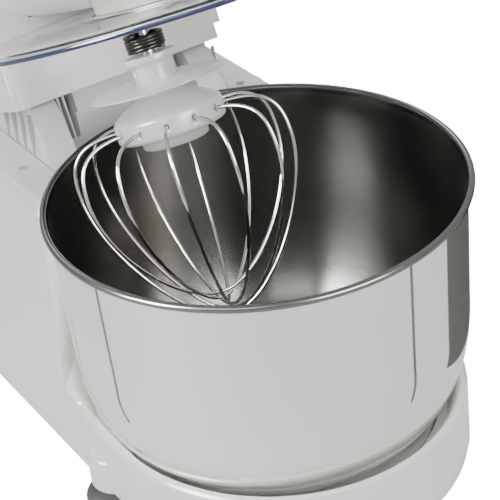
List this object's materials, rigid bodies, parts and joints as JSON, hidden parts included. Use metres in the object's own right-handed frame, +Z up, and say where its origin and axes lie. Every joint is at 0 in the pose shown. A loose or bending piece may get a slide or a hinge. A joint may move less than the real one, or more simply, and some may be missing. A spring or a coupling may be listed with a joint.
{
  "type": "stand mixer",
  "caption": "Tilt-head kitchen stand mixer with its head raised: white casing, clear splash guard, wire whisk on a planetary drive, and a polished steel bowl.",
  "frame": {"origin": "middle of the footprint of the whole object, on the surface it stands on", "axes": "+Z up, the front of the machine (bowl side) toward -Y, +X to the right of someone looking along +Y"},
  "size_m": [0.226, 0.3957, 0.3919],
  "materials": {
    "white_abs": "gloss moulded",
    "black_rubber": "matt",
    "polished_steel": "mirror polished outside, brushed inside",
    "dark_steel": "blackened",
    "clear_plastic": "clear moulded",
    "cast_aluminium": "as cast",
    "natural_nylon": "moulded",
    "grey_abs": "fine grain",
    "copper_winding": "lacquered wire",
    "circuit_board": "solder mask"
  },
  "bodies": {
    "base": {"base_shell": "white_abs", "base_plate": "grey_abs", "foot_1": "black_rubber", "foot_2": "black_rubber", "foot_3": "black_rubber", "foot_4": "black_rubber", "foot_5": "black_rubber", "foot_6": "black_rubber", "base_screw_1": "dark_steel", "base_screw_2": "dark_steel", "base_screw_3": "dark_steel", "base_screw_4": "dark_steel", "bowl_seat": "white_abs", "hinge_pin": "polished_steel", "hinge_bush_left": "natural_nylon", "hinge_bush_right": "natural_nylon", "speed_switch": "natural_nylon", "control_board": "circuit_board", "latch_spring": "dark_steel", "cable_inlet": "black_rubber"},
    "bowl": {"bowl": "polished_steel", "bowl_foot": "polished_steel"},
    "speed_knob": {"speed_knob": "grey_abs", "knob_shaft": "polished_steel"},
    "release_lever": {"release_lever": "grey_abs"},
    "latch_bolt": {"latch_bolt": "polished_steel"},
    "head": {"head_upper_shell": "white_abs", "head_lower_shell": "white_abs", "hinge_neck": "white_abs", "ring_gear": "natural_nylon", "gearbox_plate": "cast_aluminium", "lower_bearing": "polished_steel", "upper_bearing": "polished_steel", "drive_belt": "black_rubber", "motor_bracket": "cast_aluminium", "motor_housing": "dark_steel", "stator_winding": "copper_winding", "splash_guard": "clear_plastic"},
    "carrier": {"planet_carrier": "white_abs", "main_shaft": "polished_steel", "drive_pulley": "natural_nylon"},
    "motor_rotor": {"motor_armature": "dark_steel", "motor_pulley": "dark_steel", "cooling_fan": "natural_nylon"},
    "planet": {"planet_gear": "natural_nylon", "tool_shaft": "polished_steel", "cross_pin": "polished_steel", "tool_spring": "dark_steel"},
    "whisk": {"whisk_hub": "white_abs", "drip_disc": "white_abs", "wire_loop_1": "polished_steel", "wire_loop_2": "polished_steel", "wire_loop_3": "polished_steel", "wire_loop_4": "polished_steel", "wire_loop_5": "polished_steel", "wire_loop_6": "polished_steel"}
  },
  "joints": [
    {"name": "head_tilt", "type": "hinge", "parent": "base", "child": "head", "pos_m": [0, 0.11, 0.128], "axis": [1, 0, 0], "range_deg": [0, 22]},
    {"name": "carrier_spin", "type": "hinge", "parent": "head", "child": "carrier", "pos_m": [0, -0.04383, 0.26781], "axis": [0, 0.3746, 0.9272], "continuous": true},
    {"name": "planet_spin", "type": "hinge", "parent": "carrier", "child": "planet", "pos_m": [-0.02527, -0.02884, 0.26175], "axis": [0, 0.3746, 0.9272], "continuous": true},
    {"name": "motor_spin", "type": "hinge", "parent": "head", "child": "motor_rotor", "pos_m": [0, 0.06024, 0.29047], "axis": [0, 0.3746, 0.9272], "continuous": true},
    {"name": "whisk_push", "type": "slide", "parent": "planet", "child": "whisk", "axis": [0, 0.3746, 0.9272], "range_m": [0, 0.005], "stiffness_N_per_m": 500, "deforming": ["tool_spring"]},
    {"name": "bowl_twist", "type": "hinge", "parent": "base", "child": "bowl", "pos_m": [0, -0.085, 0.1], "axis": [0, 0, 1], "range_deg": [0, 25]},
    {"name": "knob_turn", "type": "hinge", "parent": "base", "child": "speed_knob", "pos_m": [0.1, 0.083, 0.098], "axis": [1, 0, 0], "range_deg": [-30, 240]},
    {"name": "lever_press", "type": "hinge", "parent": "base", "child": "release_lever", "pos_m": [0.09, 0.065, 0.138], "axis": [1, 0, 0], "range_deg": [0, 20], "stiffness_Nm_per_rad": 0.3},
    {"name": "bolt_slide", "type": "slide", "parent": "base", "child": "latch_bolt", "axis": [-1, 0, 0], "range_m": [0, 0.004]}
  ],
  "couplings": [
    {"joint": "planet_spin", "follows": "carrier_spin", "ratio": -3.6667},
    {"joint": "motor_spin", "follows": "carrier_spin", "ratio": 4},
    {"joint": "bolt_slide", "follows": "lever_press", "m_per_rad": 0.011459}
  ]
}
